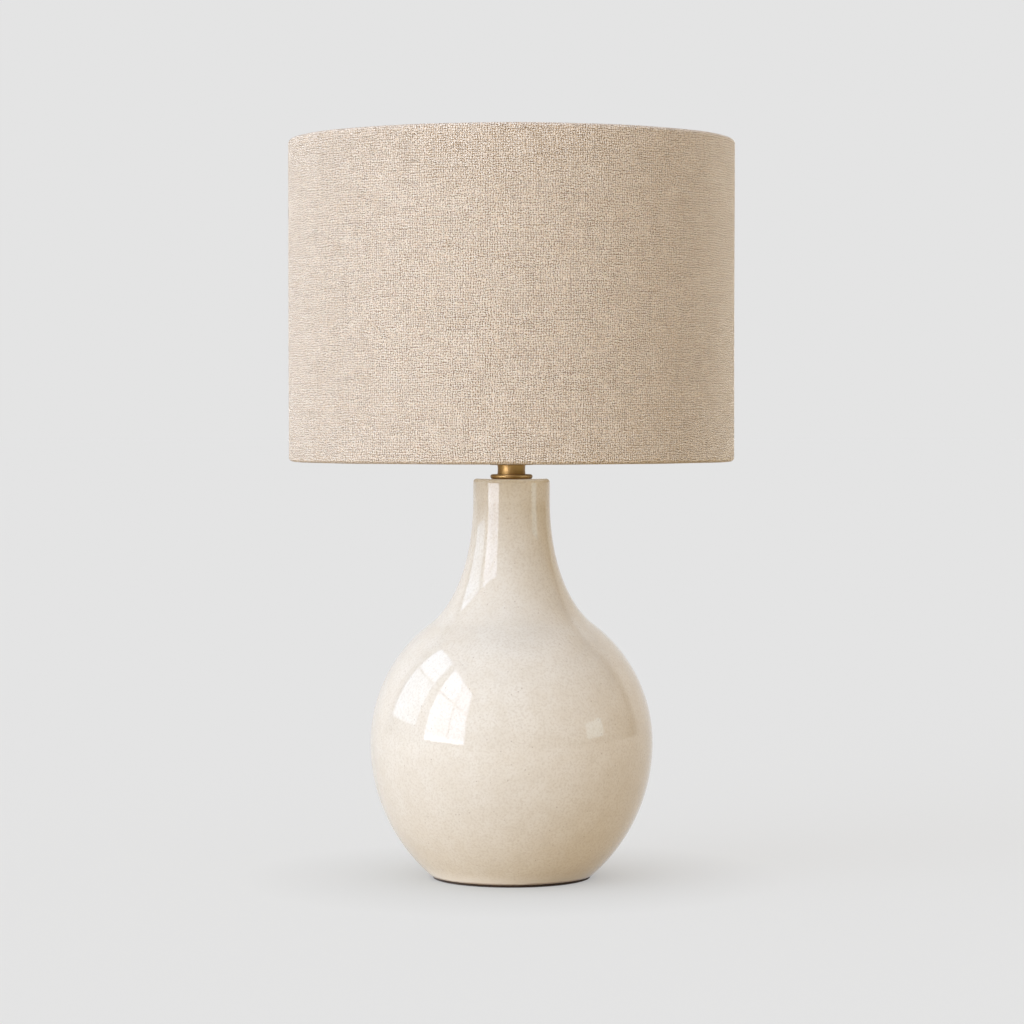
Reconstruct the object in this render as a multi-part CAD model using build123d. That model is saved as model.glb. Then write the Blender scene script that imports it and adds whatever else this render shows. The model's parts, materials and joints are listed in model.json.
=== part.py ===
from build123d import *
import os
from math import atan2, cos, sin, sqrt, tan

# Ceramic table lamp with a linen drum shade, in millimetres.
# +Z is up and the origin is on the table, under the middle of the foot. The cord leaves towards +Y.

# Clearances
moving_gap = 0.1         # radial, between a moving piece and the pin, tube or post it moves on
assembly_gap = 0.1       # radial, between fixed pieces that slip together
free_gap = 0.4           # between threads and other surfaces that must never rub
bend_share = 0.45        # share of the shorter run that a bent wire gives to each bend

# Felt and ceramic vessel
felt_thickness = 2.0
felt_inset = 1.5         # felt edge inside the foot's edge
felt_edge_round = 0.6
foot_radius = 60.3
foot_edge_round = 1.2
foot_ring_width = 13.5   # glazed ring that the vessel stands on
floor_thickness = 8.0
belly_radius = 105.2
belly_rise = 98.5        # widest point above the foot
shoulder_radius = 60.9
shoulder_rise = 186.8    # where the belly turns into the neck, above the foot
neck_radius = 28.6
neck_straight = 8.0      # upright stretch under the rim's deck
vessel_height = 295.0
rim_round = 3.0
wall_thickness = 6.0
deck_thickness = 8.0     # closed top of the neck
shoulder_ease = 0.2      # pull of the neck curve at the shoulder, as a share of its chord
neck_ease = 0.515        # pull of the neck curve at the neck, as a share of its chord

# Threaded rod and its fixing in the foot recess
rod_radius = 4.9
rod_bore_radius = 3.4
rod_hole_gap = 1.2       # radial, between the rod and the ceramic
base_washer_radius = 20.0
base_washer_thickness = 2.0
lock_washer_radius = 8.0
lock_washer_thickness = 1.2
lock_washer_split = 1.6
base_nut_flats = 14.3
base_nut_height = 5.0
base_nut_chamfer = 0.8
rod_tail = 1.5           # rod that shows below the nut
recess_headroom = 4.3    # between the rod's end and the felt

# Way out for the cord, in the rear of the foot
cord_bore_radius = 3.2
bushing_wall = 1.2
bushing_flange_width = 2.0
bushing_flange_thickness = 1.6
bushing_stand_out = 2.0  # past the vessel's side

# Brass column on the rim
check_ring_radius = 15.7
check_ring_thickness = 3.2
seat_lip = 3.2           # ring outside the recess for the rubber washer
seat_washer_thickness = 1.0
brass_neck_radius = 10.5
brass_neck_length = 7.0
brass_neck_wall = 1.2
brass_neck_waist = 0.3   # how far the neck draws in at its middle
upper_ring_radius = 16.6
upper_ring_thickness = 2.0

# Harp saddle, harp and ferrules
saddle_thickness = 1.5
saddle_width = 10.0
saddle_hub_radius = 11.0
saddle_post_height = 14.0
harp_span = 57.0         # between the posts
harp_height = 216.0      # saddle to shade seat
harp_wire_radius = 1.8
harp_bulge = 62.0        # control half-width of the bow
harp_bulge_rise = 112.0
harp_crown = 24.0        # control half-width of the crown
lap_gap = 0.1            # between the flats of post and leg
crown_pad_half = 9.5
crown_pad_width = 10.0
crown_pad_thickness = 2.4
ferrule_length = 16.0
ferrule_travel = 20.0
ferrule_wall = 1.4
ferrule_flare = 0.9
ferrule_flare_height = 3.0

# Stud, shade seat and finial
stud_shank_radius = 2.4
stud_head_radius = 4.5
stud_head_height = 1.6
stud_shoulder_radius = 8.0
stud_shoulder_height = 2.0
stud_radius = 3.1
stud_length = 12.0       # thread above the spider's washer
stud_tip_chamfer = 0.6
finial_nut_wall = 1.8
finial_nut_height = 10.0
finial_wall = 1.5
finial_base_radius = 8.2
finial_base_height = 2.6
finial_ball_radius = 8.0
finial_cover = 4.0       # waist between the nut's top and the middle of the ball

# Socket, from the bulb's standard screw cap outwards
bulb_cap_radius = 13.0
screw_shell_wall = 0.5
screw_shell_height = 21.0
core_lip = 0.5           # core outside the screw shell
core_height = 22.0
sleeve_wall = 0.6
sleeve_height = 43.5
shell_wall = 0.7
shell_height = 46.0
shell_bead = 0.8
cap_wall = 0.8
cap_hub_radius = 8.5
cap_hub_height = 5.0
cap_flare_height = 6.0
cap_rim_height = 7.5
cap_ledge_width = 3.5    # inner ledge that carries shell, sleeve and core
cap_floor_rise = 6.3
rod_head = 2.0           # rod inside the cap, above its floor
contact_radius = 3.5
contact_height = 1.8
cap_screw_radius = 1.5
cap_screw_head_radius = 2.4
cap_screw_head_height = 1.6
cap_screw_slot = 0.6
terminal_flat = 2.8      # depth of the flats under the terminal screws
terminal_head_radius = 2.8
terminal_head_height = 1.8
terminal_shank_radius = 1.4
terminal_shank_length = 5.0
terminal_slot = 0.7

# Turn switch, whose stem runs forward through the shell
switch_rise = 13.5       # stem above the cap's ledge
stem_radius = 2.0
stem_root = 5.0          # stem behind the lamp's axis
stem_reach = 17.0        # stem outside the shell
stem_slot_gap = 2.4
knob_radius = 6.4
knob_length = 17.0
knob_collar_length = 4.0
knob_blade = 4.6         # thickness of the flat blade that the fingers turn
knob_standoff = 4.0      # between the shell and the knob
knob_edge_round = 0.8

# Bulb
tip_radius = 4.5
tip_height = 1.5
insulator_radius = 10.5
insulator_height = 3.5
bulb_cap_length = 20.5
bulb_cap_wall = 0.6
bulb_collar_depth = 5.0  # housing inside the cap
housing_foot_radius = 14.0
housing_foot_height = 4.0
housing_rim_radius = 29.2
housing_height = 40.0
housing_wall = 1.8
dome_radius = 30.0
dome_height = 42.0
dome_wall = 1.3
dome_fullness = 0.62     # pull of the diffuser's curve, as a share of its radius and height
board_thickness = 1.6
board_ledge = 2.0
driver_width = 15.0
driver_length = 26.0
driver_thickness = 1.4

# Shade
shade_radius = 165.0
shade_height = 237.0
shade_recess = 19.5      # spider arms below the top rim
linen_thickness = 0.7
liner_thickness = 0.7
shade_wire_radius = 1.6
hem_ease = 0.2           # slack of the rolled hem round its wire
hem_lip = 4.0            # hem turned down inside
spider_washer_radius = 14.0
spider_washer_thickness = 1.6
spider_arm_count = 3
spider_arm_start = 10.0

# Heights that follow from the stack
foot_z = felt_thickness
recess_depth = (base_washer_thickness + lock_washer_thickness + base_nut_height
                + rod_tail + recess_headroom)
recess_z = foot_z + recess_depth
floor_z = recess_z + floor_thickness
washer_z = recess_z - base_washer_thickness
lock_z = washer_z - lock_washer_thickness
nut_z = lock_z - base_nut_height
bushing_z = foot_z + recess_depth / 2
belly_z = foot_z + belly_rise
shoulder_z = foot_z + shoulder_rise
vessel_z = foot_z + vessel_height
deck_z = vessel_z - deck_thickness
neck_z = deck_z - neck_straight
brass_neck_z = vessel_z + check_ring_thickness
upper_ring_z = brass_neck_z + brass_neck_length
saddle_z = upper_ring_z + upper_ring_thickness
seat_z = saddle_z + saddle_thickness
cap_screw_z = seat_z + cap_hub_height / 2
cap_flare_z = seat_z + cap_hub_height + cap_flare_height
ledge_z = cap_flare_z + cap_wall
cap_rim_z = ledge_z + cap_rim_height
rod_top_z = seat_z + cap_floor_rise + rod_head
core_z = ledge_z + core_height
stem_z = ledge_z + switch_rise
terminal_z = ledge_z + switch_rise / 2
bulb_z = core_z + contact_height
insulator_z = bulb_z + tip_height
bulb_cap_z = insulator_z + insulator_height
housing_z = bulb_cap_z + bulb_cap_length
dome_z = housing_z + housing_height
board_z = dome_z - board_thickness
hub_z = seat_z + harp_height
crown_pad_z = hub_z - stud_shoulder_height - crown_pad_thickness
hub_top_z = hub_z + spider_washer_thickness
arm_z = hub_z + spider_washer_thickness / 2
shade_top_z = arm_z + shade_recess
shade_bottom_z = shade_top_z - shade_height

# Radii that follow from a neighbour and a clearance
rod_hole_radius = rod_radius + rod_hole_gap
rod_seat_radius = rod_radius + assembly_gap
recess_radius = foot_radius - foot_ring_width
bushing_radius = cord_bore_radius + bushing_wall
screw_shell_inner = bulb_cap_radius + free_gap
screw_shell_outer = screw_shell_inner + screw_shell_wall
core_radius = screw_shell_outer + core_lip
sleeve_inner = core_radius + assembly_gap
sleeve_outer = sleeve_inner + sleeve_wall
shell_inner = sleeve_outer + assembly_gap
shell_outer = shell_inner + shell_wall
cap_inner = shell_outer + assembly_gap
cap_outer = cap_inner + cap_wall
stem_slot_radius = stem_radius + stem_slot_gap
knob_y = shell_outer + knob_standoff
ferrule_inner = harp_wire_radius + moving_gap
ferrule_outer = ferrule_inner + ferrule_wall
finial_nut_inner = stud_radius + moving_gap
finial_nut_outer = finial_nut_inner + finial_nut_wall
finial_bore = finial_nut_outer + moving_gap
hem_radius = linen_thickness + liner_thickness / 2 + shade_wire_radius + hem_ease
ring_radius = shade_radius - linen_thickness - liner_thickness - hem_ease - shade_wire_radius

# The lower belly is one arc from the foot to the widest point, upright there.
belly_spread = belly_radius - foot_radius
belly_arc_radius = (belly_rise**2 + belly_spread**2) / (2 * belly_spread)
belly_arc_centre = belly_radius - belly_arc_radius
# The upper belly is one arc too, and leaves the shoulder at this lean from upright.
shoulder_lean = 2 * atan2(belly_radius - shoulder_radius, shoulder_rise - belly_rise)

standing = (Align.CENTER, Align.CENTER, Align.MIN)


def disc(radius, bottom, height):
    return Pos(0, 0, bottom) * Cylinder(radius, height, align=standing)


def tube(outer, inner, bottom, height):
    return disc(outer, bottom, height) - disc(inner, bottom, height)


def turned(*outline):
    """Solid turned about the Z axis from a closed outline of (radius, height) curves."""
    return revolve(Plane.XZ * make_face(Curve() + list(outline)), Axis.Z)


def turned_points(*points):
    """Solid turned about the Z axis from straight runs between (radius, height) points."""
    return turned(Polyline(*points, close=True))


def forward(radius, start, length, height):
    """Cylinder along -Y from y = -start, at the given height."""
    return Pos(0, -start, height) * Rot(90, 0, 0) * Cylinder(radius, length, align=standing)


def backward(radius, start, length, height):
    """Cylinder along +Y from y = start, at the given height."""
    return Pos(0, start, height) * Rot(-90, 0, 0) * Cylinder(radius, length, align=standing)


def sideways(radius, start, length):
    """Cylinder along X from x = start, over a signed length, at the terminals' height."""
    lying = Pos(start + min(length, 0), 0, terminal_z) * Rot(0, 90, 0)
    return lying * Cylinder(radius, abs(length), align=standing)


def bend_radii(points):
    """Largest radius for each inner corner of a bent wire that leaves straight stretches between."""
    radii = []
    for before, corner, after in zip(points, points[1:], points[2:]):
        run_in = Vector(*corner) - Vector(*before)
        run_out = Vector(*after) - Vector(*corner)
        half_turn = atan2(run_in.cross(run_out).length, run_in.dot(run_out)) / 2
        radii.append(bend_share * min(run_in.length, run_out.length) / tan(half_turn))
    return radii


def wire(path, radius):
    """Round wire along a path."""
    return sweep(Plane(origin=path @ 0, z_dir=path % 0) * Circle(radius), path=path)


def belly_side(height, inset):
    """Radius of the lower belly at a height, moved inward by inset."""
    return belly_arc_centre + sqrt((belly_arc_radius - inset)**2 - (belly_z - height)**2)


def vessel_side(bottom, inset):
    """The three curves of the vessel's side from a height up to the neck, moved inward by inset."""
    low = (belly_side(bottom, inset), bottom)
    belly = (belly_radius - inset, belly_z)
    shoulder = (shoulder_radius - inset * cos(shoulder_lean), shoulder_z - inset * sin(shoulder_lean))
    neck = (neck_radius - inset, neck_z)
    chord = sqrt((shoulder[0] - neck[0])**2 + (neck[1] - shoulder[1])**2)
    shoulder_pull = (shoulder[0] - shoulder_ease * chord * sin(shoulder_lean),
                     shoulder[1] + shoulder_ease * chord * cos(shoulder_lean))
    neck_pull = (neck[0], neck[1] - neck_ease * chord)
    return [
        TangentArc(belly, low, tangent=(0, -1)),
        TangentArc(belly, shoulder, tangent=(0, 1)),
        Bezier(shoulder, shoulder_pull, neck_pull, neck),
    ]


def ceramic_body():
    inner_neck = neck_radius - wall_thickness
    outline = Curve() + vessel_side(foot_z, 0) + vessel_side(floor_z, wall_thickness)
    outline += Polyline((neck_radius, neck_z), (neck_radius, vessel_z), (rod_hole_radius, vessel_z),
                        (rod_hole_radius, deck_z), (inner_neck, deck_z), (inner_neck, neck_z))
    outline += Polyline((belly_side(floor_z, wall_thickness), floor_z), (rod_hole_radius, floor_z),
                        (rod_hole_radius, recess_z), (recess_radius, recess_z),
                        (recess_radius, foot_z), (foot_radius, foot_z))
    section = make_face(outline)
    section = fillet(section.vertices().sort_by_distance((neck_radius, vessel_z))[:1], rim_round)
    section = fillet(section.vertices().sort_by_distance((foot_radius, foot_z))[:1], foot_edge_round)
    vessel = revolve(Plane.XZ * section, Axis.Z)
    return vessel - backward(bushing_radius + assembly_gap, 0, belly_radius, bushing_z)


def felt_pad():
    pad = disc(foot_radius - felt_inset, 0, felt_thickness)
    return fillet(pad.edges().sort_by(Axis.Z)[:1], felt_edge_round)


def cord_bushing():
    flange_radius = bushing_radius + bushing_flange_width
    flange_y = sqrt(recess_radius**2 - flange_radius**2) - bushing_flange_thickness
    end_y = belly_side(bushing_z + bushing_radius, 0) + bushing_stand_out
    sleeve = backward(bushing_radius, flange_y, end_y - flange_y, bushing_z)
    sleeve += backward(flange_radius, flange_y, bushing_flange_thickness, bushing_z)
    return sleeve - backward(cord_bore_radius, flange_y, end_y - flange_y, bushing_z)


def base_washer():
    return tube(base_washer_radius, rod_seat_radius, washer_z, base_washer_thickness)


def lock_washer():
    split = Box(lock_washer_radius, lock_washer_split, lock_washer_thickness,
                align=(Align.MIN, Align.CENTER, Align.MIN))
    ring = tube(lock_washer_radius, rod_seat_radius, lock_z, lock_washer_thickness)
    return ring - Pos(0, 0, lock_z) * split


def base_nut():
    corner_radius = base_nut_flats / sqrt(3)
    prism = Pos(0, 0, nut_z) * extrude(RegularPolygon(corner_radius, 6), base_nut_height)
    turned_down = disc(corner_radius, nut_z, base_nut_height)
    rims = turned_down.edges().filter_by(GeomType.CIRCLE)
    return (prism & chamfer(rims, base_nut_chamfer)) - disc(rod_seat_radius, nut_z, base_nut_height)


def lamp_rod():
    bottom = nut_z - rod_tail
    return tube(rod_radius, rod_bore_radius, bottom, rod_top_z - bottom)


def seat_washer():
    return tube(check_ring_radius - seat_lip, rod_seat_radius, vessel_z, seat_washer_thickness)


def check_ring():
    edge = check_ring_radius - check_ring_thickness / 2
    seat = check_ring_radius - seat_lip
    seat_top = vessel_z + seat_washer_thickness
    return turned(
        Polyline((edge, brass_neck_z), (rod_seat_radius, brass_neck_z), (rod_seat_radius, seat_top),
                 (seat, seat_top), (seat, vessel_z), (edge, vessel_z)),
        ThreePointArc((edge, vessel_z), (check_ring_radius, vessel_z + check_ring_thickness / 2),
                      (edge, brass_neck_z)),
    )


def brass_neck():
    bore = brass_neck_radius - brass_neck_waist - brass_neck_wall
    middle = (brass_neck_radius - brass_neck_waist, brass_neck_z + brass_neck_length / 2)
    return turned(
        ThreePointArc((brass_neck_radius, brass_neck_z), middle, (brass_neck_radius, upper_ring_z)),
        Polyline((brass_neck_radius, upper_ring_z), (bore, upper_ring_z), (bore, brass_neck_z),
                 (brass_neck_radius, brass_neck_z)),
    )


def upper_ring():
    edge = upper_ring_radius - upper_ring_thickness / 2
    return turned(
        Polyline((edge, saddle_z), (rod_seat_radius, saddle_z), (rod_seat_radius, upper_ring_z),
                 (edge, upper_ring_z)),
        ThreePointArc((edge, upper_ring_z), (upper_ring_radius, upper_ring_z + upper_ring_thickness / 2),
                      (edge, saddle_z)),
    )


def half_round(radius, bottom, height, side):
    """Upright half-cylinder at the right-hand post, on the outer (1) or inner (-1) side of the lap."""
    flat = Pos(harp_span / 2 + side * lap_gap / 2, 0, bottom)
    block = Box(radius, 2 * radius, height,
                align=(Align.MIN if side > 0 else Align.MAX, Align.CENTER, Align.MIN))
    return (Pos(harp_span / 2, 0, 0) * disc(radius, bottom, height)) & (flat * block)


def harp_saddle():
    plan = SlotOverall(harp_span + saddle_width, saddle_width) + Circle(saddle_hub_radius)
    strip = Pos(0, 0, saddle_z) * extrude(plan - Circle(rod_seat_radius), saddle_thickness)
    post = half_round(harp_wire_radius, seat_z, saddle_post_height, 1)
    return strip + post + mirror(post, Plane.YZ)


def harp_bow():
    crown_z = crown_pad_z + crown_pad_thickness / 2
    leg = (ferrule_length + ferrule_travel) / (1 - bend_share)
    points = [(harp_span / 2, 0, seat_z + saddle_post_height), (harp_span / 2, 0, seat_z + leg),
              (harp_bulge, 0, seat_z + harp_bulge_rise), (harp_crown, 0, crown_z),
              (crown_pad_half, 0, crown_z)]
    side = wire(FilletPolyline(*points, radius=bend_radii(points)), harp_wire_radius)
    side += half_round(harp_wire_radius, seat_z, saddle_post_height, -1)
    pad_plan = SlotOverall(2 * crown_pad_half + harp_wire_radius, crown_pad_width)
    pad = Pos(0, 0, crown_pad_z) * extrude(pad_plan, crown_pad_thickness)
    bow = side + pad + mirror(side, Plane.YZ)
    return bow - disc(stud_shank_radius + assembly_gap / 2, crown_pad_z, crown_pad_thickness)


def harp_stud():
    pad_top = hub_z - stud_shoulder_height
    head_z = crown_pad_z - stud_head_height
    top = hub_top_z + stud_length
    return turned_points(
        (0, head_z), (stud_head_radius - stud_head_height, head_z), (stud_head_radius, crown_pad_z),
        (stud_shank_radius, crown_pad_z), (stud_shank_radius, pad_top), (stud_shoulder_radius, pad_top),
        (stud_shoulder_radius, hub_z), (stud_radius, hub_z), (stud_radius, top - stud_tip_chamfer),
        (stud_radius - stud_tip_chamfer, top), (0, top))


def ferrule(side):
    flare = ferrule_outer + ferrule_flare
    top = seat_z + ferrule_length
    sleeve = turned_points(
        (ferrule_inner, seat_z), (flare, seat_z), (flare, seat_z + ferrule_flare_height / 2),
        (ferrule_outer, seat_z + ferrule_flare_height), (ferrule_outer, top - ferrule_wall / 2),
        (ferrule_outer - ferrule_wall / 2, top), (ferrule_inner, top))
    return Pos(side * harp_span / 2, 0, 0) * sleeve


def finial_nut():
    return tube(finial_nut_outer, finial_nut_inner, hub_top_z, finial_nut_height)


def finial_knob():
    waist = finial_bore + finial_wall
    nut_top = hub_top_z + finial_nut_height
    stud_bore = stud_radius + free_gap
    stud_bore_top = nut_top + max(stud_length - finial_nut_height, 0) + free_gap
    base_top = hub_top_z + finial_base_height
    ball_z = hub_top_z + finial_nut_height + finial_cover
    ball_foot = ball_z - sqrt(finial_ball_radius**2 - waist**2)
    return turned(
        Polyline((0, ball_z + finial_ball_radius), (0, stud_bore_top), (stud_bore, stud_bore_top),
                 (stud_bore, nut_top), (finial_bore, nut_top), (finial_bore, hub_top_z),
                 (finial_base_radius, hub_top_z), (finial_base_radius, base_top), (waist, base_top),
                 (waist, ball_foot)),
        ThreePointArc((waist, ball_foot), (finial_ball_radius, ball_z), (0, ball_z + finial_ball_radius)),
    )


def socket_cap():
    ledge_inner = cap_inner - cap_ledge_width
    floor = seat_z + cap_floor_rise
    return turned(
        TangentArc((cap_hub_radius, seat_z + cap_hub_height), (cap_outer, cap_flare_z), tangent=(1, 0)),
        Polyline((cap_outer, cap_flare_z), (cap_outer, cap_rim_z), (cap_inner, cap_rim_z),
                 (cap_inner, ledge_z), (ledge_inner, ledge_z), (cap_hub_radius - cap_wall, floor),
                 (rod_seat_radius, floor), (rod_seat_radius, seat_z), (cap_hub_radius, seat_z),
                 (cap_hub_radius, seat_z + cap_hub_height)),
    ) - backward(cap_screw_radius, 0, cap_outer, cap_screw_z)


def cap_screw():
    head_y = cap_hub_radius
    end_y = head_y + cap_screw_head_height
    screw = backward(cap_screw_radius, rod_seat_radius, end_y - rod_seat_radius, cap_screw_z)
    screw += backward(cap_screw_head_radius, head_y, cap_screw_head_height, cap_screw_z)
    slot = Box(2 * cap_screw_head_radius, cap_screw_slot, cap_screw_slot)
    return screw - Pos(0, end_y, cap_screw_z) * slot


def stem_slot(radius):
    """Cut-out for the switch stem, open at the bottom, through a wall of the given radius."""
    window = forward(stem_slot_radius, 0, radius, stem_z)
    window += Pos(0, 0, ledge_z) * Box(2 * stem_slot_radius, radius, switch_rise,
                                       align=(Align.CENTER, Align.MAX, Align.MIN))
    return window


def socket_shell():
    top = ledge_z + shell_height
    bead_z = top - shell_bead
    shell = turned(
        Polyline((shell_outer, bead_z - shell_bead), (shell_outer, ledge_z), (shell_inner, ledge_z),
                 (shell_inner, top), (shell_outer, top)),
        ThreePointArc((shell_outer, top), (shell_outer + shell_bead, bead_z),
                      (shell_outer, bead_z - shell_bead)),
    )
    return shell - stem_slot(2 * shell_outer)


def shell_sleeve():
    return tube(sleeve_outer, sleeve_inner, ledge_z, sleeve_height) - stem_slot(2 * shell_outer)


def socket_core():
    core = disc(core_radius, ledge_z, core_height)
    flat_x = core_radius - terminal_flat
    flat = Pos(flat_x, 0, ledge_z) * Box(core_radius, 2 * core_radius, 2 * switch_rise,
                                         align=(Align.MIN, Align.CENTER, Align.CENTER))
    hole = sideways(terminal_shank_radius + assembly_gap, flat_x, -terminal_shank_length - free_gap)
    cut = flat + hole
    core -= cut
    core -= mirror(cut, Plane.YZ)
    return core - forward(stem_radius + moving_gap, -stem_root - free_gap, 2 * core_radius, stem_z)


def terminal_screws():
    flat_x = core_radius - terminal_flat
    screw = sideways(terminal_shank_radius, flat_x, -terminal_shank_length)
    screw += sideways(terminal_head_radius, flat_x, terminal_head_height)
    slot = Box(terminal_slot, 2 * terminal_head_radius, terminal_slot)
    screw -= Pos(flat_x + terminal_head_height, 0, terminal_z) * slot
    return Compound(children=[screw, mirror(screw, Plane.YZ)])


def screw_shell():
    shell = tube(screw_shell_outer, screw_shell_inner, core_z, screw_shell_height)
    return shell + tube(screw_shell_outer, contact_radius + 2 * contact_height, core_z, screw_shell_wall)


def centre_contact():
    return disc(contact_radius, core_z, contact_height)


def switch_stem():
    return forward(stem_radius, -stem_root, stem_root + shell_outer + stem_reach, stem_z)


def switch_knob():
    knob = forward(knob_radius, knob_y, knob_length, stem_z)
    knob = fillet(knob.edges().filter_by(GeomType.CIRCLE).sort_by(Axis.Y)[:1], knob_edge_round)
    blade_length = knob_length - knob_collar_length
    side = Pos(knob_blade / 2, -knob_y - knob_collar_length, stem_z) * Box(
        knob_radius, blade_length, 2 * knob_radius, align=(Align.MIN, Align.MAX, Align.CENTER))
    knob -= side + mirror(side, Plane.YZ)
    return knob - forward(stem_radius + assembly_gap / 2, knob_y, stem_reach - knob_standoff, stem_z)


def bulb_tip():
    return disc(tip_radius, bulb_z, tip_height)


def bulb_insulator():
    return turned_points((0, insulator_z), (tip_radius, insulator_z), (insulator_radius, bulb_cap_z),
                         (0, bulb_cap_z))


def bulb_cap():
    cap = tube(bulb_cap_radius, bulb_cap_radius - bulb_cap_wall, bulb_cap_z, bulb_cap_length)
    return cap + tube(bulb_cap_radius, tip_radius, bulb_cap_z, bulb_cap_wall)


def bulb_housing():
    collar_outer = bulb_cap_radius - bulb_cap_wall - assembly_gap
    collar_inner = collar_outer - housing_wall
    collar_z = housing_z - bulb_collar_depth
    waist_z = housing_z + housing_foot_height
    inner_foot = housing_foot_radius - housing_wall
    inner_rim = housing_rim_radius - housing_wall
    ledge = inner_rim - board_ledge
    ledge_bottom = board_z - housing_wall
    return turned(
        TangentArc((housing_foot_radius, waist_z), (housing_rim_radius, board_z), tangent=(0, 1)),
        Polyline((housing_rim_radius, board_z), (housing_rim_radius, dome_z), (inner_rim, dome_z),
                 (inner_rim, board_z), (ledge, board_z), (ledge, ledge_bottom)),
        TangentArc((inner_foot, waist_z), (ledge, ledge_bottom), tangent=(0, 1)),
        Polyline((inner_foot, waist_z), (collar_inner, housing_z), (collar_inner, collar_z),
                 (collar_outer, collar_z), (collar_outer, housing_z), (housing_foot_radius, housing_z),
                 (housing_foot_radius, waist_z)),
    )


def dome_curve(inset):
    """Quarter outline of the diffuser, upright at its rim and level on top, moved inward by inset."""
    across = dome_radius - inset
    top = dome_z + dome_height - inset
    side_pull = (across, dome_z + dome_fullness * (dome_height - inset))
    top_pull = (dome_fullness * across, top)
    return Bezier((across, dome_z), side_pull, top_pull, (0, top))


def bulb_dome():
    return turned(
        dome_curve(0),
        dome_curve(dome_wall),
        Line((dome_radius, dome_z), (dome_radius - dome_wall, dome_z)),
        Line((0, dome_z + dome_height), (0, dome_z + dome_height - dome_wall)),
    )


def led_board():
    return disc(housing_rim_radius - housing_wall - assembly_gap, board_z, board_thickness)


def driver_board():
    return Pos(0, 0, board_z) * Box(driver_width, driver_thickness, driver_length,
                                    align=(Align.CENTER, Align.CENTER, Align.MAX))


def hem_end(level, way):
    """Curves of one rolled hem at a rim; way is 1 at the top and -1 at the bottom."""
    centre = shade_radius - hem_radius
    inside = hem_radius - linen_thickness
    turn_z = level - way * hem_radius
    lip_z = turn_z - way * hem_lip
    return [
        ThreePointArc((centre + hem_radius, turn_z), (centre, level), (centre - hem_radius, turn_z)),
        Polyline((centre - hem_radius, turn_z), (centre - hem_radius, lip_z), (centre - inside, lip_z),
                 (centre - inside, turn_z)),
        ThreePointArc((centre - inside, turn_z), (centre, level - way * linen_thickness),
                      (centre + inside, turn_z)),
    ]


def shade_linen():
    low = shade_bottom_z + hem_radius
    high = shade_top_z - hem_radius
    inner = shade_radius - linen_thickness
    return turned(*hem_end(shade_top_z, 1), *hem_end(shade_bottom_z, -1),
                  Line((shade_radius, low), (shade_radius, high)), Line((inner, low), (inner, high)))


def shade_liner():
    outer = shade_radius - linen_thickness
    return tube(outer, outer - liner_thickness, shade_bottom_z + hem_radius, shade_height - 2 * hem_radius)


def shade_ring(level):
    return Pos(0, 0, level) * Torus(ring_radius, shade_wire_radius)


def top_ring():
    return shade_ring(shade_top_z - hem_radius)


def bottom_ring():
    return shade_ring(shade_bottom_z + hem_radius)


def spider():
    points = [(spider_arm_start, 0, arm_z), (ring_radius, 0, arm_z),
              (ring_radius, 0, shade_top_z - hem_radius)]
    arm = wire(FilletPolyline(*points, radius=bend_radii(points)), shade_wire_radius)
    frame = tube(spider_washer_radius, stud_radius + moving_gap, hub_z, spider_washer_thickness)
    for index in range(spider_arm_count):
        frame += Rot(0, 0, 90 + index * 360 / spider_arm_count) * arm
    return frame - top_ring()


pieces = {
    "felt_pad": felt_pad(),
    "ceramic_body": ceramic_body(),
    "cord_bushing": cord_bushing(),
    "base_washer": base_washer(),
    "lock_washer": lock_washer(),
    "base_nut": base_nut(),
    "lamp_rod": lamp_rod(),
    "seat_washer": seat_washer(),
    "check_ring": check_ring(),
    "brass_neck": brass_neck(),
    "upper_ring": upper_ring(),
    "harp_saddle": harp_saddle(),
    "socket_cap": socket_cap(),
    "cap_screw": cap_screw(),
    "socket_shell": socket_shell(),
    "shell_sleeve": shell_sleeve(),
    "socket_core": socket_core(),
    "terminal_screws": terminal_screws(),
    "screw_shell": screw_shell(),
    "centre_contact": centre_contact(),
    "switch_stem": switch_stem(),
    "switch_knob": switch_knob(),
    "bulb_tip": bulb_tip(),
    "bulb_insulator": bulb_insulator(),
    "bulb_cap": bulb_cap(),
    "bulb_housing": bulb_housing(),
    "bulb_dome": bulb_dome(),
    "led_board": led_board(),
    "driver_board": driver_board(),
    "harp_bow": harp_bow(),
    "harp_stud": harp_stud(),
    "left_ferrule": ferrule(-1),
    "right_ferrule": ferrule(1),
    "finial_nut": finial_nut(),
    "finial_knob": finial_knob(),
    "shade_linen": shade_linen(),
    "shade_liner": shade_liner(),
    "top_ring": top_ring(),
    "bottom_ring": bottom_ring(),
    "spider": spider(),
}

os.makedirs("parts", exist_ok=True)
for name, piece in pieces.items():
    export_step(piece, f"parts/{name}.step")
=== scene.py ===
import json
import math
from collections import namedtuple

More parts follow.
